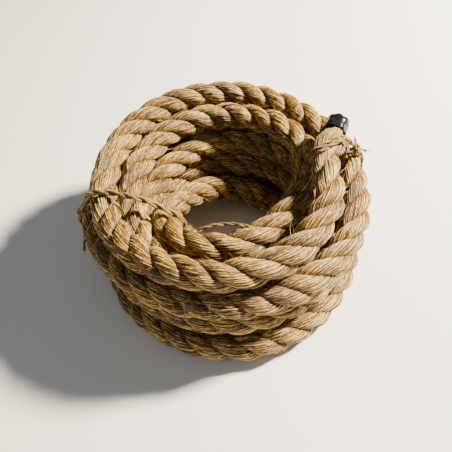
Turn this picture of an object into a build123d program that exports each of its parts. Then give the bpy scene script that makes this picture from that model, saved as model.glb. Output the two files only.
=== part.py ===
"""Coiled three-strand manila dock line, wound in eight turns and tied in two places.

The rope itself lies in three solids: the wound coil, the loose turn that lines its hole,
and the free end that crosses the top.  Both ends are wrapped with tape, two lengths of
yarn hold the turns together, and a third yarn lies loose at the front of the hole.
The origin is on the floor, under the middle of the coil; the free end is at +X.
"""

import math
import os

from build123d import *

# Driving dimensions, in millimetres and degrees
rope = 24.0  # rope diameter, the unit that every other size of the coil follows
yarn = 0.2 * rope  # thickness of the tying yarns
loose_yarn_thickness = 0.12 * rope
taped_end = 0.84 * rope  # rope diameter under the tape, drawn in by it
tape_wall = 0.8
tape_length = 0.62 * rope
seat_gap = 0.15  # free space between a piece and the seat that it lies in

# Section of the coil, as (radius, height) in rope diameters.  Each row of rope is an arc
# from one valley to the next through the crest between them.
row_valleys = [(4.72, 0.0), (4.72, 0.95), (4.7, 1.9), (4.66, 2.85), (4.45, 3.7), (3.6, 3.72), (2.8, 3.35)]
row_crests = [(5.12, 0.48), (5.1, 1.42), (5.08, 2.38), (4.95, 3.4), (4.02, 4.05), (3.2, 3.8)]
wall_valleys = [(2.8, 3.35), (2.75, 2.6), (2.7, 1.75), (2.65, 0.9), (2.65, 0.0)]
wall_crests = [(2.55, 3.0), (2.5, 2.18), (2.5, 1.32), (2.5, 0.45)]

# The rope's turns lie round a point a little off the origin, in rope diameters
turns_centre = (0.16, 0.12)

# The loose turn that lines the hole, from the hidden end on the floor up to the front rim,
# as (azimuth, radius, height) round the turns' centre
loose_turn_route = [
    (0, 2.2, 0.54), (30, 2.2, 0.54), (60, 2.15, 0.65),
    (90, 2.0, 1.15), (120, 1.95, 1.52), (150, 1.97, 1.85), (180, 2.12, 2.3),
    (210, 2.5, 2.85), (240, 2.64, 2.95), (270, 2.65, 2.97), (300, 2.4, 2.95), (330, 2.4, 2.97), (354, 2.7, 3.0),
]

# The free end's route over the top, in rope diameters from the origin
end_route = [(3.36, -1.65, 3.74), (3.45, -0.75, 3.87), (3.55, 0.15, 3.93), (4.0, 0.95, 3.97)]
bend_share = 0.45  # share of the shorter run that an arc may take

# Ties: each lies in an upright plane through the axis, as (radius, height) in rope diameters
left_tie_azimuth = 188.0
left_tie_loop = [
    (5.05, 0.6), (5.07, 2.3), (4.85, 3.55), (4.05, 4.08), (3.2, 3.8), (2.3, 3.1),
    (1.7, 2.75), (1.62, 2.2), (2.15, 1.6), (2.85, 1.15), (2.85, 0.55), (3.3, 0.16), (4.6, 0.16),
]
right_tie_azimuth = 4.0
right_tie_loop = [
    (5.05, 0.6), (5.07, 2.3), (4.95, 3.4), (4.45, 4.4), (3.6, 4.62), (3.03, 4.36), (2.9, 3.6),
    (3.0, 0.6), (3.5, 0.16), (4.6, 0.16),
]
tie_bend = 0.16 * rope

# The loose yarn, an arch over the front of the hole, in rope diameters
loose_yarn_route = [
    (-1.05, -2.2, 3.1), (-0.75, -2.02, 3.5), (-0.3, -1.95, 3.62), (0.2, -1.98, 3.6), (0.65, -2.12, 3.4),
]


def in_rope_diameters(points):
    """Scale points given in rope diameters to millimetres."""
    return [tuple(rope * value for value in point) for point in points]


def bend_radii(points):
    """Largest radius at each inner point that leaves room for its neighbours."""
    radii = []
    for before, here, after in zip(points, points[1:], points[2:]):
        run_in = Vector(here) - Vector(before)
        run_out = Vector(after) - Vector(here)
        half_turn = math.radians(run_in.get_angle(run_out)) / 2
        shorter = min(run_in.length, run_out.length)
        radii.append(bend_share * shorter / math.tan(half_turn))
    return radii


def radial_plane(azimuth):
    """Upright plane through the axis: local x runs outward, local y runs up."""
    outward = Vector(1, 0, 0).rotate(Axis.Z, azimuth)
    sideways = outward.cross(Vector(0, 0, 1))
    return Plane(origin=(0, 0, 0), x_dir=outward, z_dir=sideways)


def rope_along(points, diameter):
    """Plain tube along straight runs joined by tangent arcs."""
    radii = bend_radii(points)
    with BuildPart() as tube:
        with BuildLine() as route:
            FilletPolyline(*points, radius=radii)
        with BuildSketch(Plane(origin=route.wire() @ 0, z_dir=route.wire() % 0)):
            Circle(diameter / 2)
        sweep()
    print("bend radii, mm:", [round(radius) for radius in radii])
    print("tube volume over section times length:", round(
        tube.part.volume / (math.pi * diameter**2 / 4 * route.wire().length), 4))
    return tube.part


def tie_along(loop, azimuth, thickness):
    """Closed square-edged loop of yarn in an upright plane through the axis."""
    corners = [(rope * radius, rope * height) for radius, height in loop]
    with BuildPart() as band:
        with BuildSketch(radial_plane(azimuth)):
            with BuildLine():
                FilletPolyline(*corners, radius=tie_bend, close=True)
                offset(amount=thickness / 2)
            make_face()
            with BuildLine():
                FilletPolyline(*corners, radius=tie_bend, close=True)
                offset(amount=-thickness / 2)
            make_face(mode=Mode.SUBTRACT)
        extrude(amount=thickness / 2, both=True)
    return band.part


def round_the_hole(stations):
    """Points in millimetres of a route given by azimuth, radius and height."""
    centre_x, centre_y = turns_centre
    points = []
    for azimuth, radius, height in stations:
        outward = Vector(radius, 0, height).rotate(Axis.Z, azimuth)
        points.append((outward.X + centre_x, outward.Y + centre_y, outward.Z))
    return in_rope_diameters(points)


def taped_stub(plane, diameter, length):
    """Straight end of rope, drawn in by its tape, standing on a plane."""
    with BuildPart() as stub:
        with BuildSketch(plane):
            Circle(diameter / 2)
        extrude(amount=length)
    return stub.part


def tape_cap(plane):
    """Tape wound round the end of the rope and folded over its face."""
    with BuildPart() as cap:
        with BuildSketch(plane):
            Circle(taped_end / 2 + tape_wall)
        extrude(amount=tape_length + tape_wall)
        fillet(cap.edges().filter_by(GeomType.CIRCLE).sort_by(Axis(plane.origin, plane.z_dir))[-1], radius=2.5)
        with BuildSketch(plane):
            Circle(taped_end / 2)
        extrude(amount=tape_length, mode=Mode.SUBTRACT)
    return cap.part


def end_frame(tip, point_before):
    """Plane on the rope's end face, looking away from the rope."""
    return Plane(origin=tip, z_dir=Vector(tip) - Vector(point_before))


end_points = in_rope_diameters(end_route)
end_plane = end_frame(end_points[-1], end_points[-2])
turn_points = round_the_hole(loose_turn_route)
hidden_plane = end_frame(turn_points[0], turn_points[1])
loose_yarn_points = in_rope_diameters(loose_yarn_route)

with BuildPart() as outer_end:
    add(rope_along(end_points, rope))
    add(taped_stub(end_plane, taped_end, tape_length))
outer_end.part.label = "outer_end"

with BuildPart() as outer_end_tape:
    add(tape_cap(end_plane))
outer_end_tape.part.label = "outer_end_tape"

with BuildPart() as inner_end_tape:
    add(tape_cap(hidden_plane))
inner_end_tape.part.label = "inner_end_tape"

with BuildPart() as left_tie:
    add(tie_along(left_tie_loop, left_tie_azimuth, yarn))
left_tie.part.label = "left_tie"

with BuildPart() as right_tie:
    add(tie_along(right_tie_loop, right_tie_azimuth, yarn))
right_tie.part.label = "right_tie"

with BuildPart() as loose_yarn:
    add(rope_along(loose_yarn_points, loose_yarn_thickness))
loose_yarn.part.label = "loose_yarn"

# The loose turn, drawn in under its tape, with seats for the yarns that lie against it
with BuildPart() as loose_turn:
    add(rope_along(turn_points, rope))
    add(taped_stub(hidden_plane, taped_end, tape_length))
    add(tie_along(left_tie_loop, left_tie_azimuth, yarn + 2 * seat_gap), mode=Mode.SUBTRACT)
    add(rope_along(loose_yarn_points, loose_yarn_thickness + 2 * seat_gap), mode=Mode.SUBTRACT)
loose_turn.part.label = "loose_turn"

# The wound coil: rows of rope round a wide hole, with a flat bottom.  The ties are pulled
# tight and bite into it.
with BuildPart() as rope_coil:
    with BuildSketch(Plane.XZ):
        with BuildLine():
            Line((wall_valleys[-1][0] * rope, 0), (row_valleys[0][0] * rope, 0))
            for valleys, crests in ((row_valleys, row_crests), (wall_valleys, wall_crests)):
                rows = zip(in_rope_diameters(valleys), in_rope_diameters(crests), in_rope_diameters(valleys[1:]))
                for start, crest, stop in rows:
                    ThreePointArc(start, crest, stop)
        make_face()
    revolve(axis=Axis.Z)
    add(rope_along(turn_points, rope + 2 * seat_gap), mode=Mode.SUBTRACT)
    add(rope_along(end_points, rope + 2 * seat_gap), mode=Mode.SUBTRACT)
    add(taped_stub(end_plane, taped_end + 2 * (tape_wall + seat_gap), rope), mode=Mode.SUBTRACT)
    add(taped_stub(hidden_plane, taped_end + 2 * (tape_wall + seat_gap), rope), mode=Mode.SUBTRACT)
rope_coil.part.label = "rope_coil"

os.makedirs("parts", exist_ok=True)
for piece in (rope_coil, loose_turn, outer_end, outer_end_tape, inner_end_tape, left_tie, right_tie, loose_yarn):
    export_step(piece.part, f"parts/{piece.part.label}.step")
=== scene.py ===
"""Looks of the coiled manila dock line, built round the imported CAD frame.

The rope is one smooth route: eight turns worked out from a table of radii and heights, then
the free end that crosses the top.  Three laid strands, with their yarns as real ridges,
follow it.  Two tying yarns, a loose yarn, taped ends and stray fibres go with it.
Lengths are in metres; the coil's own tables are in rope diameters, as in the CAD source.
"""
import math

import bpy
import numpy as np
from mathutils import Matrix, Vector


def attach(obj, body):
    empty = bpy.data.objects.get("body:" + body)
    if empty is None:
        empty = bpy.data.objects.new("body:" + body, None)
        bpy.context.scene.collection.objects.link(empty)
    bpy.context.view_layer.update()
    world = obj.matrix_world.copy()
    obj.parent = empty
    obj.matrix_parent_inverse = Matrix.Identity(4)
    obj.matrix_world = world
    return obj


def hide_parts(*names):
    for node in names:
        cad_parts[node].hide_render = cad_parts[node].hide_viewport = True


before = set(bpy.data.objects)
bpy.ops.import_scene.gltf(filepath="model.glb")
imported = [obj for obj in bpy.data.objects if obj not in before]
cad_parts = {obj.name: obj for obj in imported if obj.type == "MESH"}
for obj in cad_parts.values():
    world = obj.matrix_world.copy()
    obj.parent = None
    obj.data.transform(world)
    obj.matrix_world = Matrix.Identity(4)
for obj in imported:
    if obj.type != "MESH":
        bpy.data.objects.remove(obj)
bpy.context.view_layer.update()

# ---------------------------------------------------------------- sizes
ROPE = 0.024  # rope diameter
LAY = 2.7 * ROPE  # length in which a strand goes once round the rope
SECTION_STEP = 0.135 * ROPE  # distance between two sections of a strand
TURNS_CENTRE = (0.16, 0.12)  # the turns lie round this point, in rope diameters

# Radius and height of the rope's centre every 30 degrees, turn by turn from the hidden end
# to the free one, in rope diameters.
TURNS = [
    ([2.2, 2.2, 2.12, 1.97, 1.92, 1.93, 2.1, 2.48, 2.64, 2.65, 2.4, 2.4],
     [0.54, 0.54, 0.65, 1.1, 1.36, 1.6, 2.08, 2.75, 2.95, 2.97, 2.95, 2.97]),
    ([2.85, 3.45, 3.65, 3.68, 3.65, 3.48, 3.25, 3.33, 3.38, 3.42, 3.4, 3.35],
     [3.0, 3.1, 3.25, 3.33, 3.28, 3.1, 2.95, 2.6, 2.4, 2.35, 2.25, 2.2]),
    ([3.3, 3.28, 3.32, 3.32, 3.14, 3.02, 3.1, 3.0, 2.95, 2.9, 2.9, 2.9],
     [2.18, 2.25, 2.33, 2.34, 2.26, 2.12, 1.9, 1.6, 1.45, 1.4, 1.35, 1.32]),
    ([3.0, 3.05, 3.08, 3.08, 3.05, 3.1, 3.25, 3.35, 3.35, 3.35, 3.4, 3.45],
     [1.34, 1.38, 1.43, 1.43, 1.34, 1.17, 0.9, 0.65, 0.5, 0.5, 0.5, 0.5]),
    ([3.5, 3.5, 3.5, 3.5, 3.55, 3.85, 4.2, 4.4, 4.6, 4.8, 4.6, 4.3],
     [0.5, 0.5, 0.5, 0.5, 0.5, 0.5, 0.5, 0.5, 0.5, 0.5, 0.5, 0.5]),
    ([4.4, 4.5, 4.5, 4.5, 4.5, 4.5, 4.5, 4.25, 4.25, 4.35, 4.25, 4.2],
     [0.6, 0.8, 1.2, 1.6, 1.65, 1.5, 1.4, 1.45, 1.45, 1.45, 1.45, 1.45]),
    ([4.4, 4.5, 4.4, 4.35, 4.45, 4.65, 4.76, 4.5, 4.4, 4.4, 4.5, 4.5],
     [1.6, 1.9, 2.35, 2.65, 2.7, 2.5, 2.4, 2.44, 2.42, 2.45, 2.45, 2.5]),
    ([4.45, 4.45, 4.5, 4.55, 4.6, 4.45, 4.2, 4.08, 4.0, 4.05, 3.9],
     [2.75, 3.12, 3.52, 3.75, 3.7, 3.42, 3.22, 3.24, 3.36, 3.4, 3.5]),
]
STATION = 30  # degrees between two stations of the table
# The free end's route over the top, in rope diameters from the origin
END_ROUTE = [
    (3.45, -1.8, 3.72), (3.47, -0.75, 3.88), (3.5, 0.12, 4.0), (3.98, 0.92, 4.05), (4.3, 1.54, 4.1),
]

# ---------------------------------------------------------------- laid strands
STRANDS = 3
YARNS = 24  # round a strand
POINTS_PER_YARN = 3  # round a strand, also in a tying yarn
YARN_RIDGE = 0.030 * ROPE  # how far a yarn stands out of its strand
HALF_DEPTH = 0.247  # of a strand, outward, as a share of the rope's diameter
HALF_WIDTH = 0.278  # of a strand, sideways, as a share of the rope's diameter
YARN_BACK_TURN = 0.85  # at 1 the yarns would run straight along the outside of the rope
WOBBLE = 0.12  # how unevenly the strands are laid; at 1 by up to 60 degrees
YARN_WOBBLE = 0.35  # the same for the plies of a tying yarn
STRAND_SWAY = 0.07  # radians that a strand strays round the rope by itself
SLOW_SWELL = 0.05  # share by which a strand thickens and thins, over 1.7 lays
QUICK_SWELL = 0.035  # the same, over 0.6 of a lay
YARN_STRAY = 0.38  # share of a yarn's width by which it strays sideways
YARN_SWELL = 0.35  # share by which a yarn's ridge grows and shrinks along it
YARN_LEVEL = 0.6  # how much higher one yarn lies than another, as a share of the ridge
YARN_BULGE = 0.3  # how far a yarn rises where it strays, as a share of the ridge
ROUNDNESS = 2.2  # of a yarn's ridge; 2 is a parabola

# ---------------------------------------------------------------- tape
TAPE_LENGTH = 0.5  # of the taped end, in rope diameters
TAPED_END = 0.8  # width over the tape, in rope diameters
UNDER_TAPE = 0.74  # width of the rope under the tape, in rope diameters
TAPE_GRIP = 0.35  # stretch over which the rope narrows to the tape, in rope diameters
TAPE_STEP = 0.0006  # distance between two sections of the tape
TAPE_THICKNESS = 0.0004
TAPE_WRAPS = 2.3  # turns of the tape round the end
TAPE_COLUMNS = 72  # points round the tape
TIP_SECTIONS = 9  # sections that close the tip
TIP_LENGTH = 0.16 * ROPE  # from the last full section to the middle of the tip
TAPE_EDGE = 0.035  # how far the tape's edge stands out, as a share of the radius
TAPE_WRINKLES = 0.11  # the same for its wrinkles
TIP_FOLDS = 0.18  # the same for the folds at the tip

# ---------------------------------------------------------------- tying yarns
YARN = 0.19 * ROPE
LEFT_TIE_THICKNESS = 1.1 * YARN
RIGHT_TIE_THICKNESS = 0.75 * YARN
KNOT_THICKNESS = 0.7 * YARN
TAIL_THICKNESS = 0.6 * YARN
LOOSE_THICKNESS = 0.13 * ROPE
YARN_LAY = 5.2  # length in which a ply goes once round its yarn, in yarn thicknesses
RING_STEP = 0.10 * ROPE  # distance between two points of a tie while it is pulled tight
PULL = 0.6  # share of the way to a straight line that each point goes in one round of pulling
LEFT_WRAPS, LEFT_SPREAD = 1, 0.05  # wraps of the tie, and how wide they lie in rope diameters
RIGHT_WRAPS, RIGHT_SPREAD = 2, 0.34
KNOT_SIZE = 0.052  # in rope diameters
KNOT_LIFT = 0.06  # how far a knot stands off its tie, in rope diameters
# Each tie runs in an upright plane through a point, and heads so many degrees from +X.  Its loop
# is (distance along the heading, height, distance aside) before it is pulled tight.  The points
# of ties, knots and the loose yarn are in rope diameters.
LEFT_TIE = ((-3.24, -0.42), -18.0, [
    (-2.1, 0.6, 0), (-2.15, 2.3, 0), (-1.8, 3.3, 0), (-1.2, 3.8, 0), (-0.6, 4.05, 0),
    (0, 4.1, 0), (0.7, 3.9, 0), (1.3, 3.6, 0), (1.87, 3.1, 0), (1.92, 2.4, 0),
    (1.4, 1.8, 0), (1.1, 0.5, 0), (0.7, 0.1, 0), (-1.0, 0.1, 0), (-1.9, 0.1, 0),
])
RIGHT_TIE = ((3.2, -0.15), 30.0, [
    (0.3, 3.1, 0.3), (-0.4, 3.6, 0.4), (-0.5, 4.0, 0.3), (-0.42, 4.45, 0.1), (-0.1, 4.68, 0),
    (0.45, 4.5, 0), (1.26, 4.0, 0.05), (1.95, 3.5, 0.05), (2.3, 2.4, 0.05), (2.25, 1.5, 0.05),
    (2.15, 0.5, 0.05), (1.9, 0.1, 0.05), (1.3, 0.1, 0.1), (1.15, 0.8, 0.1), (1.0, 1.6, 0.2),
    (0.85, 2.4, 0.35),
])
# Each knot's rough place, its lean in degrees, how far it hangs below the yarn, and the way
# its two tails go from it
LEFT_KNOT = ((-5.2, 0.2, 1.35), 80.0, 0.0, [
    [(-0.12, -0.25, -0.1), (-0.12, -0.5, -0.3)], [(-0.12, 0.2, -0.15), (-0.1, 0.4, -0.4)],
])
RIGHT_KNOT = ((4.72, 0.5, 3.6), 20.0, 0.16, [
    [(0.1, 0.22, 0.02), (0.12, 0.5, 0.0)], [(0.2, 0.05, -0.05), (0.42, 0.1, -0.22)],
])
LOOSE_YARN = [
    (-1.2, -2.3, 3.0), (-1.0, -2.07, 3.3), (-0.72, -1.99, 3.45), (-0.34, -1.95, 3.5), (0.1, -1.97, 3.5),
    (0.45, -2.03, 3.48), (0.75, -2.12, 3.4),
]

# ---------------------------------------------------------------- camera, floor and light
CAMERA_PLACE = (0.0002, -0.3175, 0.3912)
CAMERA_TILT = 41.13  # degrees up from straight down
CAMERA_ROLL = -6.67
LENS = 43.0  # millimetres, as is the sensor
SENSOR = 36.0
KEY = {
    "place": (1.235, 0.307, 0.975), "target": (0, 0, 0.05), "size": 0.2, "power": 192.0,
    "colour": (1.0, 0.89, 0.68),
}
FILL = {
    "place": (-0.55, -1.25, 0.4), "target": (0, 0, 0.03), "size": 0.9, "power": 5.0,
    "colour": (0.93, 0.96, 1.0),
}
SKY_COLOUR = (0.95, 0.97, 1.0, 1.0)
SKY_STRENGTH = 0.19
FLOOR_COLOUR = (0.78, 0.79, 0.77, 1.0)
FLOOR_ROUGHNESS = 0.8
FLOOR_HALF = 3.0  # half of the floor's side


def add_camera():
    """Camera at the viewing angle from which the coil is seen."""
    data = bpy.data.cameras.new("camera")
    data.lens = LENS
    data.sensor_width = SENSOR
    camera = bpy.data.objects.new("camera", data)
    tilt = Matrix.Rotation(math.radians(CAMERA_TILT), 4, "X")
    roll = Matrix.Rotation(math.radians(CAMERA_ROLL), 4, "Z")
    camera.matrix_world = Matrix.Translation(CAMERA_PLACE) @ tilt @ roll
    bpy.context.scene.collection.objects.link(camera)
    bpy.context.scene.camera = camera


def add_area_light(name, place, target, size, power, colour):
    """Soft square light at a place, turned to a target.  size is its side, power is in watts."""
    data = bpy.data.lights.new(name, "AREA")
    data.size = size
    data.energy = power
    data.color = colour
    light = bpy.data.objects.new(name, data)
    light.location = place
    light.rotation_euler = (Vector(target) - Vector(place)).to_track_quat("-Z", "Y").to_euler()
    bpy.context.scene.collection.objects.link(light)


add_camera()

# ---------------------------------------------------------------- route of the rope


def turn_points():
    """Control points of all turns, one at each station of the table."""
    pull = math.cos(math.radians(STATION / 2))  # the spline passes this much inside its points
    points = []
    for radii, heights in TURNS:
        for index, (radius, height) in enumerate(zip(radii, heights)):
            angle = math.radians(STATION * index)
            points.append((
                TURNS_CENTRE[0] + radius / pull * math.cos(angle),
                TURNS_CENTRE[1] + radius / pull * math.sin(angle),
                height,
            ))
    return points


def spline_points(name, controls, resolution):
    """Points along the smooth NURBS spline that has these control points, in metres."""
    data = bpy.data.curves.new(name, "CURVE")
    data.dimensions = "3D"
    data.resolution_u = resolution
    spline = data.splines.new("NURBS")
    spline.points.add(len(controls) - 1)
    for point, control in zip(spline.points, controls):
        point.co = (*(ROPE * value for value in control), 1.0)
    spline.order_u = 3
    spline.use_endpoint_u = True
    curve = bpy.data.objects.new(name, data)
    bpy.context.scene.collection.objects.link(curve)
    bpy.context.view_layer.update()
    mesh = bpy.data.meshes.new_from_object(curve.evaluated_get(bpy.context.evaluated_depsgraph_get()))
    points = np.array([vertex.co for vertex in mesh.vertices])
    bpy.data.objects.remove(curve)
    bpy.data.meshes.remove(mesh)
    return points


def arc_lengths(points):
    """Distance along a row of points, from its first one."""
    return np.concatenate([[0.0], np.cumsum(np.linalg.norm(np.diff(points, axis=0), axis=1))])


def evenly(points, step):
    """The same line with points a step apart."""
    along = arc_lengths(points)
    stops = np.linspace(0, along[-1], max(2, round(along[-1] / step) + 1))
    return np.stack([np.interp(stops, along, points[:, axis]) for axis in range(3)], axis=1)


def transported_frame(points):
    """Tangent, and two normals that don't twist, at each point of a line."""
    tangent = np.gradient(points, axis=0)
    tangent /= np.linalg.norm(tangent, axis=1)[:, None]
    normal = np.empty_like(points)
    start = np.cross(tangent[0], (0.0, 0.0, 1.0) if abs(tangent[0][2]) < 0.9 else (1.0, 0.0, 0.0))
    normal[0] = start / np.linalg.norm(start)
    for index in range(1, len(points)):
        moved = normal[index - 1] - tangent[index] * np.dot(normal[index - 1], tangent[index])
        normal[index] = moved / np.linalg.norm(moved)
    return tangent, normal, np.cross(tangent, normal)


def soft_noise(rng, places, cell):
    """Smooth random values from -1 to 1 at places along a line, that change over a cell."""
    count = int(places[-1] / cell) + 3
    knots = rng.uniform(-1, 1, count)
    spot = places / cell
    index = spot.astype(int)
    share = spot - index
    share = share * share * (3 - 2 * share)
    return knots[index] * (1 - share) + knots[index + 1] * share


# ---------------------------------------------------------------- mesh from arrays


def grid_mesh(name, grid, material, uv=None, values=None):
    """Closed tube from a grid of points (sections by points round), with capped ends.

    uv is (along, round) for each section and each column, and values are floats per point."""
    sections, around = grid.shape[:2]
    points = np.concatenate([grid.reshape(-1, 3), grid[0].mean(0)[None], grid[-1].mean(0)[None]])
    row = np.arange(sections - 1)[:, None] * around
    column = np.arange(around)[None]
    after = (column + 1) % around
    quads = np.stack([row + column, row + after, row + after + around, row + column + around], axis=-1)
    quads = quads.reshape(-1, 4)
    first, last = sections * around, sections * around + 1
    ring = np.arange(around)
    next_ring = (ring + 1) % around
    base = (sections - 1) * around
    start_cap = np.stack([next_ring, ring, np.full(around, first)], axis=1)
    end_cap = np.stack([base + ring, base + next_ring, np.full(around, last)], axis=1)
    corners = np.concatenate([quads.ravel(), start_cap.ravel(), end_cap.ravel()])
    sizes = np.concatenate([np.full(len(quads), 4), np.full(2 * around, 3)])
    mesh = bpy.data.meshes.new(name)
    mesh.vertices.add(len(points))
    mesh.vertices.foreach_set("co", points.ravel())
    mesh.loops.add(len(corners))
    mesh.loops.foreach_set("vertex_index", corners)
    mesh.polygons.add(len(sizes))
    mesh.polygons.foreach_set("loop_start", np.concatenate([[0], np.cumsum(sizes)[:-1]]))
    mesh.polygons.foreach_set("use_smooth", np.ones(len(sizes), bool))
    mesh.update(calc_edges=True)
    if uv is not None:
        along, round_it = uv
        left = np.stack(np.broadcast_arrays(along[:-1, None], round_it[None, :-1]), axis=-1)
        right = np.stack(np.broadcast_arrays(along[:-1, None], round_it[None, 1:]), axis=-1)
        upper_right = np.stack(np.broadcast_arrays(along[1:, None], round_it[None, 1:]), axis=-1)
        upper_left = np.stack(np.broadcast_arrays(along[1:, None], round_it[None, :-1]), axis=-1)
        sides = np.stack([left, right, upper_right, upper_left], axis=2).reshape(-1, 2)
        caps = np.zeros((6 * around, 2))
        layer = mesh.uv_layers.new(name="fibre")
        layer.data.foreach_set("uv", np.concatenate([sides, caps]).ravel())
    for key, array in (values or {}).items():
        attribute = mesh.attributes.new(key, "FLOAT", "POINT")
        flat = np.concatenate([array.ravel(), [array[0].mean(), array[-1].mean()]])
        attribute.data.foreach_set("value", flat.astype(np.float32))
    mesh.materials.append(material)
    piece = bpy.data.objects.new(name, mesh)
    bpy.context.scene.collection.objects.link(piece)
    return piece


def laid_strands(name, line, diameter, lay, strands, yarns, ridge, material, seed,
                 wobble=WOBBLE, under_tape=1.0):
    """Strands of a right-laid rope along a line: one closed mesh each, its yarns as ridges.

    The yarns wind the other way round their strand, so that they run along the rope.
    under_tape is what the rope's diameter is multiplied by under the tape at its two ends."""
    rng = np.random.default_rng(seed)
    tangent, normal, binormal = transported_frame(line)
    along = arc_lengths(line)
    to_end = np.minimum(along, along[-1] - along) / diameter
    grip = np.clip((to_end - TAPE_LENGTH) / TAPE_GRIP, 0, 1)
    squeeze = under_tape + (1 - under_tape) * grip * grip * (3 - 2 * grip)
    depth = HALF_DEPTH * diameter
    width = HALF_WIDTH * diameter
    centre = 0.5 * diameter - depth - ridge
    swing = wobble * soft_noise(rng, along, 2.5 * lay) * math.pi / 3
    columns = yarns * POINTS_PER_YARN
    yarn_turn = YARN_BACK_TURN * 2 * math.pi / lay * (0.5 * diameter) / width
    pieces = []
    for strand in range(strands):
        turn = 2 * math.pi * (along / lay + strand / strands) + swing
        turn = turn + STRAND_SWAY * soft_noise(rng, along, lay)
        size = 1 + SLOW_SWELL * soft_noise(rng, along, 1.7 * lay)
        size = size + QUICK_SWELL * soft_noise(rng, along, 0.6 * lay)
        outward = np.cos(turn)[:, None] * normal + np.sin(turn)[:, None] * binormal
        sideways = -np.sin(turn)[:, None] * normal + np.cos(turn)[:, None] * binormal

        # Each yarn thickens and thins slowly (drift) and wanders quickly (stray)
        drift = np.stack([soft_noise(rng, along, 3 * diameter) for _ in range(yarns)], axis=1)
        drift = drift.repeat(POINTS_PER_YARN, axis=1)
        stray = np.stack([
            soft_noise(rng, along, 1.1 * diameter) + 0.5 * soft_noise(rng, along, 0.45 * diameter)
            for _ in range(yarns)], axis=1)
        stray = stray.repeat(POINTS_PER_YARN, axis=1)
        angle = 2 * math.pi * np.arange(columns) / columns - (yarn_turn * along)[:, None]
        angle = angle + YARN_STRAY * 2 * math.pi / yarns * stray
        across_yarn = 2 * (np.arange(columns) % POINTS_PER_YARN) / POINTS_PER_YARN - 1
        profile = 1 - np.abs(across_yarn) ** ROUNDNESS
        lift = rng.uniform(-0.5, 0.5, yarns).repeat(POINTS_PER_YARN)
        height = ridge * (profile * (1 + YARN_SWELL * drift) + YARN_LEVEL * lift + YARN_BULGE * stray)

        radial = (depth * size)[:, None] + height
        lateral = (width * size)[:, None] + height
        out = (centre + radial * np.cos(angle)) * squeeze[:, None]
        aside = lateral * np.sin(angle) * squeeze[:, None]
        grid = line[:, None] + out[..., None] * outward[:, None] + aside[..., None] * sideways[:, None]
        grid[..., 2] = np.maximum(grid[..., 2], 0.0)  # it lies flat on the floor
        tone = rng.uniform(0, 1, yarns).repeat(POINTS_PER_YARN)
        tone = np.clip(tone[None] + 0.25 * drift + 0.3 * stray, 0, 1)
        round_it = 2 * math.pi * width * (np.arange(columns + 1) / columns + 1.37 * (strand + 1))
        pieces.append(grid_mesh(
            f"{name}_{'abcdef'[strand]}", grid, material, uv=(along, round_it),
            values={
                # reach is the distance from the rope's middle: the mask of the painted shade between
                # strands
                "reach": np.hypot(out, aside) / (0.5 * diameter * squeeze[:, None]),
                "tone": tone,
                # ridge also masks the painted shade in the valleys between yarns and the painted light on
                # their crests
                "ridge": np.broadcast_to(profile, angle.shape),
            },
        ))
    return pieces


# ---------------------------------------------------------------- materials


def node_material(name):
    """New material with its node tree, shader and a helper that adds nodes."""
    material = bpy.data.materials.new(name)
    material.use_nodes = True
    tree = material.node_tree
    shader = tree.nodes["Principled BSDF"]

    def add(kind, **settings):
        node = tree.nodes.new("ShaderNode" + kind)
        for key, value in settings.items():
            if key in node.inputs:
                node.inputs[key].default_value = value
            else:
                setattr(node, key, value)
        return node

    return material, shader, add, tree.links.new


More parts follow.
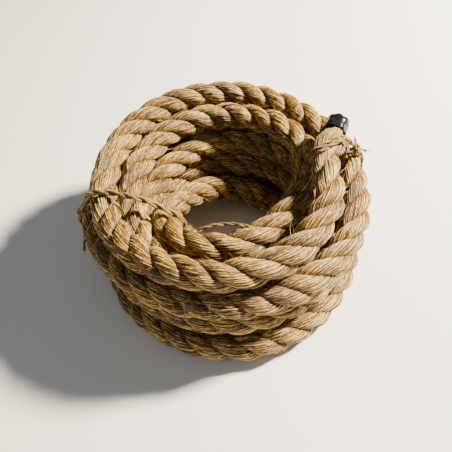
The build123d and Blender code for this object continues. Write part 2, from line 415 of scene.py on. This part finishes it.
def fibre_material(name, colours, fine=5200.0, broad=650.0, painted_shade_from=0.52, painted_shade_to=0.86):
    """Plant fibre: fine streaks along each yarn, tone that changes from yarn to yarn, painted shade in the
    gaps.

    colours go from the darkest fibre to the palest.  fine and broad are how often the two sets
    of streaks repeat across the yarns, in a metre.  Shade is painted into the gaps: the surface is
    painted darker up to painted_shade_from from the rope's middle and loses that painted shade by
    painted_shade_to, as shares of the rope's radius."""
    material, shader, add, link = node_material(name)
    uv = add("UVMap", uv_map="fibre")

    def streaks(along, across, detail):
        stretch = add("Mapping")
        stretch.inputs["Scale"].default_value = (along, across, 1.0)
        link(uv.outputs["UV"], stretch.inputs["Vector"])
        noise = add("TexNoise", noise_dimensions="2D", Scale=1.0, Detail=detail, Roughness=0.6)
        link(stretch.outputs["Vector"], noise.inputs["Vector"])
        return noise.outputs["Fac"]

    def scaled(value, factor, added=None):
        node = add("Math", operation="MULTIPLY_ADD")
        node.inputs[1].default_value = factor
        node.inputs[2].default_value = 0.0
        link(value, node.inputs[0])
        if added is not None:
            link(added, node.inputs[2])
        return node.outputs[0]

    def ranged(value, low, high):
        node = add("MapRange", interpolation_type="SMOOTHSTEP")
        node.inputs["From Min"].default_value = low
        node.inputs["From Max"].default_value = high
        link(value, node.inputs["Value"])
        return node.outputs["Result"]

    fibres = streaks(250.0, fine, 3.0)
    yarn_streaks = streaks(85.0, broad, 3.0)
    tone = add("Attribute", attribute_name="tone").outputs["Fac"]
    ridge = add("Attribute", attribute_name="ridge").outputs["Fac"]
    reach = add("Attribute", attribute_name="reach").outputs["Fac"]
    place = add("TexCoord")
    patches = add("TexNoise", Scale=34.0, Detail=2.0, Roughness=0.55)
    link(place.outputs["Object"], patches.inputs["Vector"])

    # Each yarn's own tone, the fine fibres, the broad streaks, patches of the rope and the ridge, whose
    # share paints the yarns' crests paler as painted light
    mix = scaled(tone, 0.12)
    mix = scaled(fibres, 0.95, mix)
    mix = scaled(yarn_streaks, 0.42, mix)
    mix = scaled(patches.outputs["Fac"], 0.22, mix)
    mix = scaled(ridge, 0.10, mix)
    ramp = add("ValToRGB")
    stops = ramp.color_ramp.elements
    stops[0].position, stops[0].color = 0.0, (*colours[0], 1.0)
    stops[1].position, stops[1].color = 1.0, (*colours[-1], 1.0)
    for index in range(1, len(colours) - 1):
        stops.new(index / (len(colours) - 1)).color = (*colours[index], 1.0)
    spread = add("MapRange")  # the darkest colour at the lower value of the mix, the palest at the upper
    spread.inputs["From Min"].default_value = 0.725
    spread.inputs["From Max"].default_value = 1.075
    link(mix, spread.inputs["Value"])
    link(spread.outputs["Result"], ramp.inputs["Fac"])

    # Painted shade: a colour far darker than the darkest fibre, painted into the valleys between yarns and
    # the gaps between strands
    painted_shade_colour = (*(0.3 * value for value in colours[0]), 1.0)
    # Painted shade in the valleys between yarns, where the ridge attribute is low
    painted_shade_between_yarns = add("Mix", data_type="RGBA", blend_type="MIX")
    painted_shade_between_yarns.inputs["A"].default_value = painted_shade_colour
    link(ranged(ridge, -0.1, 0.95), painted_shade_between_yarns.inputs["Factor"])
    link(ramp.outputs["Color"], painted_shade_between_yarns.inputs["B"])
    # Painted shade in the gaps between strands, where reach is low
    painted_shade_between_strands = add("Mix", data_type="RGBA", blend_type="MIX")
    painted_shade_between_strands.inputs["A"].default_value = painted_shade_colour
    link(ranged(reach, painted_shade_from, painted_shade_to), painted_shade_between_strands.inputs["Factor"])
    link(painted_shade_between_yarns.outputs["Result"], painted_shade_between_strands.inputs["B"])
    link(painted_shade_between_strands.outputs["Result"], shader.inputs["Base Color"])

    relief = scaled(yarn_streaks, 0.5, fibres)
    bump = add("Bump", Strength=1.0, Distance=0.0008)
    link(relief, bump.inputs["Height"])
    link(bump.outputs["Normal"], shader.inputs["Normal"])
    rough = add("MapRange")  # paler fibres are smoother
    rough.inputs["To Min"].default_value = 0.72
    rough.inputs["To Max"].default_value = 0.36
    rough.inputs["From Min"].default_value = 0.3
    rough.inputs["From Max"].default_value = 0.7
    link(fibres, rough.inputs["Value"])
    link(rough.outputs["Result"], shader.inputs["Roughness"])
    grain = add("Tangent", direction_type="UV_MAP", uv_map="fibre")
    link(grain.outputs["Tangent"], shader.inputs["Tangent"])
    shader.inputs["Anisotropic"].default_value = 0.75
    shader.inputs["Anisotropic Rotation"].default_value = 0.25
    shader.inputs["Specular IOR Level"].default_value = 0.45
    shader.inputs["Sheen Weight"].default_value = 0.05
    shader.inputs["Sheen Roughness"].default_value = 0.5
    return material


MANILA = fibre_material("manila", [
    (0.018, 0.0055, 0.001), (0.070, 0.022, 0.002), (0.175, 0.068, 0.0055), (0.36, 0.176, 0.017),
    (0.95, 0.66, 0.17),
])

TYING_YARN = fibre_material("tying_yarn", [
    (0.04, 0.015, 0.002), (0.12, 0.045, 0.005), (0.25, 0.11, 0.011), (0.42, 0.22, 0.028),
    (0.90, 0.65, 0.18),
], fine=8000.0, broad=1500.0, painted_shade_from=0.30, painted_shade_to=0.75)


def tape_material():
    """Glossy black tape: faint creases, and smudges that change its tone and its gloss."""
    material, shader, add, link = node_material("black_tape")
    place = add("TexCoord")
    smudge = add("TexNoise", Scale=260.0, Detail=4.0, Roughness=0.6)
    crease = add("TexNoise", Scale=95.0, Detail=2.0, Roughness=0.5, Distortion=1.5)
    for noise in (smudge, crease):
        link(place.outputs["Object"], noise.inputs["Vector"])
    rough = add("MapRange")
    rough.inputs["To Min"].default_value = 0.16
    rough.inputs["To Max"].default_value = 0.34
    link(smudge.outputs["Fac"], rough.inputs["Value"])
    link(rough.outputs["Result"], shader.inputs["Roughness"])
    ramp = add("ValToRGB")
    stops = ramp.color_ramp.elements
    stops[0].position, stops[0].color = 0.35, (0.003, 0.0035, 0.0045, 1.0)
    stops[1].position, stops[1].color = 0.75, (0.011, 0.012, 0.014, 1.0)
    link(smudge.outputs["Fac"], ramp.inputs["Fac"])
    link(ramp.outputs["Color"], shader.inputs["Base Color"])
    bump = add("Bump", Strength=0.8, Distance=0.0012)
    link(crease.outputs["Fac"], bump.inputs["Height"])
    link(bump.outputs["Normal"], shader.inputs["Normal"])
    shader.inputs["Specular IOR Level"].default_value = 0.3
    shader.inputs["Specular Tint"].default_value = (0.45, 0.47, 0.5, 1.0)
    return material


def hair_material():
    """Single stray fibres, from brown to pale straw."""
    material, shader, add, link = node_material("stray_fibre")
    tone = add("Attribute", attribute_name="tone").outputs["Fac"]
    place = add("TexCoord")
    patches = add("TexNoise", Scale=400.0, Detail=2.0)
    link(place.outputs["Object"], patches.inputs["Vector"])
    mix = add("Math", operation="MULTIPLY_ADD")
    mix.inputs[1].default_value = 0.5
    link(patches.outputs["Fac"], mix.inputs[0])
    link(tone, mix.inputs[2])
    ramp = add("ValToRGB")
    stops = ramp.color_ramp.elements
    stops[0].position, stops[0].color = 0.25, (0.10, 0.04, 0.008, 1.0)
    stops[1].position, stops[1].color = 1.0, (0.85, 0.60, 0.25, 1.0)
    stops.new(0.6).color = (0.36, 0.18, 0.035, 1.0)
    link(mix.outputs[0], ramp.inputs["Fac"])
    link(ramp.outputs["Color"], shader.inputs["Base Color"])
    shader.inputs["Roughness"].default_value = 0.45
    return material


BLACK_TAPE = tape_material()
STRAY_FIBRE = hair_material()

# ---------------------------------------------------------------- the rope
route = spline_points("route", turn_points() + END_ROUTE, resolution=8)
line = evenly(route, SECTION_STEP)
strands = laid_strands(
    "strand", line, ROPE, LAY, STRANDS, YARNS, YARN_RIDGE, MANILA, seed=11, under_tape=UNDER_TAPE)

for piece in strands:
    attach(piece, "root")
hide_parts("rope_coil", "loose_turn", "outer_end")


# ---------------------------------------------------------------- taped ends
def taped_tip(name, way_in, seed):
    """Tape wound round an end of the rope and folded over it; way_in runs from the tip inward."""
    rng = np.random.default_rng(seed)
    count = round(TAPE_LENGTH * ROPE / TAPE_STEP) + 1
    core = evenly(way_in, TAPE_STEP)[:count][::-1]
    tangent, normal, binormal = transported_frame(core)
    angle = 2 * math.pi * np.arange(TAPE_COLUMNS) / TAPE_COLUMNS
    folds = np.abs(np.sin(3.5 * angle + 0.6)) - 0.6  # seven, gathered at the tip
    # Wrinkles along the tape, as (how many go round it, phase, size)
    waves = [(rng.integers(2, 9), rng.uniform(0, 2 * math.pi), rng.uniform(-1, 1)) for _ in range(9)]
    rows = []
    total = count + TIP_SECTIONS
    for index in range(total):
        here = min(index, count - 1)
        closing = max(0, index - count + 1) / TIP_SECTIONS  # 0 on the side, 1 at the middle of the tip
        share = index / total
        radius = TAPED_END * ROPE / 2 * math.sqrt(max(1 - (0.96 * closing) ** 2.4, 0))
        place = core[here] + tangent[here] * TIP_LENGTH * math.sin(closing * math.pi / 2)
        turns = share * TAPE_WRAPS + angle / (2 * math.pi)
        overlap = 0.5 - np.mod(turns, 1)
        wrinkle = sum(
            size * np.sin(number * angle + phase + 6.0 * share * size)
            for number, phase, size in waves) / len(waves)
        lift = TAPE_EDGE * overlap + TAPE_WRINKLES * wrinkle
        lift = lift + TIP_FOLDS * folds * closing * (1 - 0.5 * closing)
        reach = radius * (1 + lift) + TAPE_THICKNESS
        rows.append(
            place
            + (reach * np.cos(angle))[:, None] * normal[here]
            + (reach * np.sin(angle))[:, None] * binormal[here]
            + (0.08 * ROPE * closing * folds)[:, None] * tangent[here])
    return grid_mesh(name, np.array(rows), BLACK_TAPE)


tapes = [taped_tip("outer_tape", line[::-1], 3), taped_tip("inner_tape", line, 8)]
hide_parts("outer_end_tape")
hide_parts("inner_end_tape")
for piece in tapes:
    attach(piece, "root")


# ---------------------------------------------------------------- yarns
def drawn_tight(points, across, clearance, rounds=240):
    """A closed yarn pulled tight: it shortens in its own plane, and the rope pushes it out."""
    middle = points.mean(axis=0)
    near = np.abs((line - middle) @ across) < 1.4 * ROPE  # the rope close to the yarn's plane
    core = line[near]
    yarn_line = points.copy()
    rows = np.arange(len(yarn_line))
    for _ in range(rounds):
        pull = (np.roll(yarn_line, 1, axis=0) + np.roll(yarn_line, -1, axis=0)) / 2 - yarn_line
        pull -= across * (pull @ across)[:, None]
        yarn_line += PULL * pull
        for _ in range(2):
            away = yarn_line[:, None] - core[None]
            distance = np.linalg.norm(away, axis=2)
            nearest = distance.argmin(axis=1)
            gap = clearance - distance[rows, nearest]
            push = away[rows, nearest] / distance[rows, nearest][:, None]
            push -= across * (push @ across)[:, None]
            yarn_line += np.clip(gap, 0, None)[:, None] * push
        yarn_line[:, 2] = np.maximum(yarn_line[:, 2], YARN / 2)
    return yarn_line


def smoothed(points, rounds):
    """A closed line with its small kinks taken out."""
    for _ in range(rounds):
        points = (np.roll(points, 1, axis=0) + 2 * points + np.roll(points, -1, axis=0)) / 4
    return points


def round_the_turns(through, heading, loop, wraps, spread):
    """Yarn wound round the turns and pulled tight, each wrap beside the last one."""
    heading = math.radians(heading)
    ahead = np.array([math.cos(heading), math.sin(heading), 0.0])
    across = np.array([-math.sin(heading), math.cos(heading), 0.0])
    corners = [
        np.array([*through, height]) + distance * ahead + aside * across
        for distance, height, aside in loop]
    ring = evenly(np.array([*corners, corners[0]]) * ROPE, RING_STEP)[:-1]
    ring = smoothed(ring, 6)
    bitten = 0.47 * ROPE + YARN / 2  # from the rope's centre to the yarn's, which presses in a little
    ring = smoothed(drawn_tight(ring, across, bitten), 2)
    laps = np.concatenate([ring] * wraps + [ring[:6]])  # its ends overlap
    offset = np.linspace(-0.5, 0.5, len(laps)) * spread * ROPE
    return laps + offset[:, None] * across


def trefoil(centre, size, lean):
    """Line of a small overhand knot."""
    turn = np.linspace(0, 2 * math.pi, 73)
    shape = np.stack([
        np.sin(turn) + 2 * np.sin(2 * turn),
        np.cos(turn) - 2 * np.cos(2 * turn),
        -1.6 * np.sin(3 * turn),
    ], axis=1) * size * ROPE
    return shape @ np.array(Matrix.Rotation(math.radians(lean), 3, "Y")) + np.array(centre) * ROPE


def yarn_pieces(name, yarn_line, thickness, seed):
    """Two-ply twisted yarn along a line."""
    return laid_strands(
        name, evenly(yarn_line, 0.25 * thickness), thickness, YARN_LAY * thickness, strands=2, yarns=7,
        ridge=0.03 * thickness, material=TYING_YARN, seed=seed, wobble=YARN_WOBBLE)


left_tie = round_the_turns(*LEFT_TIE, LEFT_WRAPS, LEFT_SPREAD)
right_tie = round_the_turns(*RIGHT_TIE, RIGHT_WRAPS, RIGHT_SPREAD)
ties = {"left_tie": yarn_pieces("left_tie_yarn", left_tie, LEFT_TIE_THICKNESS, 21),
        "right_tie": yarn_pieces("right_tie_yarn", right_tie, RIGHT_TIE_THICKNESS, 22)}
knots = []
tails = []
for number, (tie, knot) in enumerate(((left_tie, LEFT_KNOT), (right_tie, RIGHT_KNOT))):
    place, lean, drop, ends = knot
    on_tie = tie[np.linalg.norm(tie - np.array(place) * ROPE, axis=1).argmin()] / ROPE
    outward = on_tie - line[np.linalg.norm(line - on_tie * ROPE, axis=1).argmin()] / ROPE
    centre = on_tie + KNOT_LIFT * outward / np.linalg.norm(outward) - (0.0, 0.0, drop)
    knots += yarn_pieces(
        f"knot_{number + 1}", trefoil(centre, KNOT_SIZE, lean), KNOT_THICKNESS, 31 + number)
    for part, end in enumerate(ends):
        tail = spline_points("tail", [centre, *(centre + np.array(step) for step in end)], resolution=8)
        tails.append(tail)
        knots += yarn_pieces(
            f"tail_{number + 1}{'ab'[part]}", tail, TAIL_THICKNESS, 41 + 2 * number + part)

loose_route = spline_points("loose_yarn", LOOSE_YARN, resolution=10)
tails += [loose_route, loose_route[::-1]]  # it frays at both ends
ties["loose_yarn"] = yarn_pieces("loose_yarn_yarn", loose_route, LOOSE_THICKNESS, 51)
for node, pieces in ties.items():
    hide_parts(node)
yarns = [piece for pieces in ties.values() for piece in pieces] + knots
for piece in yarns:
    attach(piece, "root")


# ---------------------------------------------------------------- stray fibres
HAIRS = 1700  # along the rope
HAIR_ROOT = 0.455 * ROPE  # distance of a fibre's root from the rope's centre
HAIR_THICKNESS = (0.00013, 0.00028)  # the thinnest and the thickest
FRAY_THICKNESS = (0.00018, 0.00036)
FRAY_HAIRS = 16  # at each cut end of a yarn
FRAY_LENGTH = 0.30 * ROPE
HAIR_TAPER = 0.6  # share of its thickness that a fibre loses by its tip
CLEAR_OF_ROPE = 0.43 * ROPE  # the least distance of any part of a fibre from the rope's centre
TIP_CLEAR_OF_ROPE = 0.5 * ROPE  # the same for its tip
CLEAR_OF_FLOOR = 0.0004


def hair_mesh(name, hairs, material):
    """Many thin tapered fibres in one mesh, each a closed three-sided tube."""
    rng = np.random.default_rng(77)
    points, faces, tones = [], [], []
    for hair, thickness in hairs:
        tangent, normal, binormal = transported_frame(hair)
        base = len(points)
        tone = rng.uniform(0, 1)
        for index, (centre, out, aside) in enumerate(zip(hair, normal, binormal)):
            radius = thickness / 2 * (1 - HAIR_TAPER * index / (len(hair) - 1))
            for corner in range(3):
                angle = 2 * math.pi * corner / 3
                points.append(centre + radius * (math.cos(angle) * out + math.sin(angle) * aside))
                tones.append(tone)
        for index in range(len(hair) - 1):
            row = base + 3 * index
            for corner in range(3):
                after = (corner + 1) % 3
                faces.append((row + corner, row + after, row + 3 + after, row + 3 + corner))
        last = base + 3 * (len(hair) - 1)
        faces.append((base + 2, base + 1, base))
        faces.append((last, last + 1, last + 2))
    mesh = bpy.data.meshes.new(name)
    mesh.from_pydata([tuple(point) for point in points], [], faces)
    attribute = mesh.attributes.new("tone", "FLOAT", "POINT")
    attribute.data.foreach_set("value", np.array(tones, np.float32))
    mesh.materials.append(material)
    piece = bpy.data.objects.new(name, mesh)
    bpy.context.scene.collection.objects.link(piece)
    return piece


def grown_hair(rng, root, heading, length, droop, points=6):
    """One bent fibre from a root, heading one way and drooping."""
    heading = heading / np.linalg.norm(heading)
    bend = rng.normal(0, 1, 3)
    bend -= heading * (bend @ heading)
    bend *= rng.uniform(0.15, 0.7) / np.linalg.norm(bend)
    share = np.linspace(0, 1, points)[:, None]
    hair = root + length * (share * heading + share**2 * bend)
    hair[:, 2] -= droop * length * share[:, 0] ** 2
    return hair


def rope_hairs(count, seed):
    """Fibres that stand off the rope where it lies open to the air."""
    rng = np.random.default_rng(seed)
    tangent, normal, binormal = transported_frame(line)
    hairs = []
    while len(hairs) < count:
        index = rng.integers(20, len(line) - 20)  # none on the taped ends
        angle = rng.uniform(0, 2 * math.pi)
        out = math.cos(angle) * normal[index] + math.sin(angle) * binormal[index]
        aside = -math.sin(angle) * normal[index] + math.cos(angle) * binormal[index]
        lean = rng.uniform(0.12, 0.8)
        heading = rng.choice((-1, 1)) * tangent[index] * rng.uniform(0.3, 1.0)
        heading = heading + lean * out + rng.normal(0, 0.4) * aside
        length = ROPE * rng.uniform(0.12, 0.42) * (1.7 if rng.random() < 0.12 else 1.0)
        hair = grown_hair(rng, line[index] + HAIR_ROOT * out, heading, length, rng.uniform(0, 0.25))
        distance = np.linalg.norm(hair[:, None] - line[None], axis=2)
        in_the_open = distance.min() > CLEAR_OF_ROPE and distance[-1].min() > TIP_CLEAR_OF_ROPE
        if in_the_open and hair[:, 2].min() > CLEAR_OF_FLOOR:
            hairs.append((hair, rng.uniform(*HAIR_THICKNESS)))
    return hairs


def fray(rng, tip, heading, count, length):
    """Spray of fibres from the cut end of a yarn."""
    hairs = []
    for _ in range(count):
        way = heading / np.linalg.norm(heading) + rng.normal(0, 0.33, 3)
        root = tip + rng.normal(0, 0.0006, 3)
        hair = grown_hair(rng, root, way, length * rng.uniform(0.5, 1.1), 0.1)
        hairs.append((hair, rng.uniform(*FRAY_THICKNESS)))
    return hairs


fray_rng = np.random.default_rng(91)
hairs = rope_hairs(HAIRS, 89)
for tail in tails:
    hairs += fray(fray_rng, tail[-1], tail[-1] - tail[-4], FRAY_HAIRS, FRAY_LENGTH)
stray_fibres = hair_mesh("stray_fibres", hairs, STRAY_FIBRE)
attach(stray_fibres, "root")

# ---------------------------------------------------------------- floor and light
floor_mesh = bpy.data.meshes.new("floor")
floor_corners = [(-1, -1), (1, -1), (1, 1), (-1, 1)]
floor_mesh.from_pydata([(FLOOR_HALF * x, FLOOR_HALF * y, 0) for x, y in floor_corners], [], [(0, 1, 2, 3)])
floor = bpy.data.objects.new("floor", floor_mesh)
bpy.context.scene.collection.objects.link(floor)
pale, pale_shader, _, _ = node_material("pale_floor")
pale_shader.inputs["Base Color"].default_value = FLOOR_COLOUR
pale_shader.inputs["Roughness"].default_value = FLOOR_ROUGHNESS
floor_mesh.materials.append(pale)

add_area_light("key", **KEY)
add_area_light("fill", **FILL)
world = bpy.data.worlds.new("world")
world.use_nodes = True
sky = world.node_tree.nodes["Background"]
sky.inputs["Color"].default_value = SKY_COLOUR
sky.inputs["Strength"].default_value = SKY_STRENGTH
bpy.context.scene.world = world
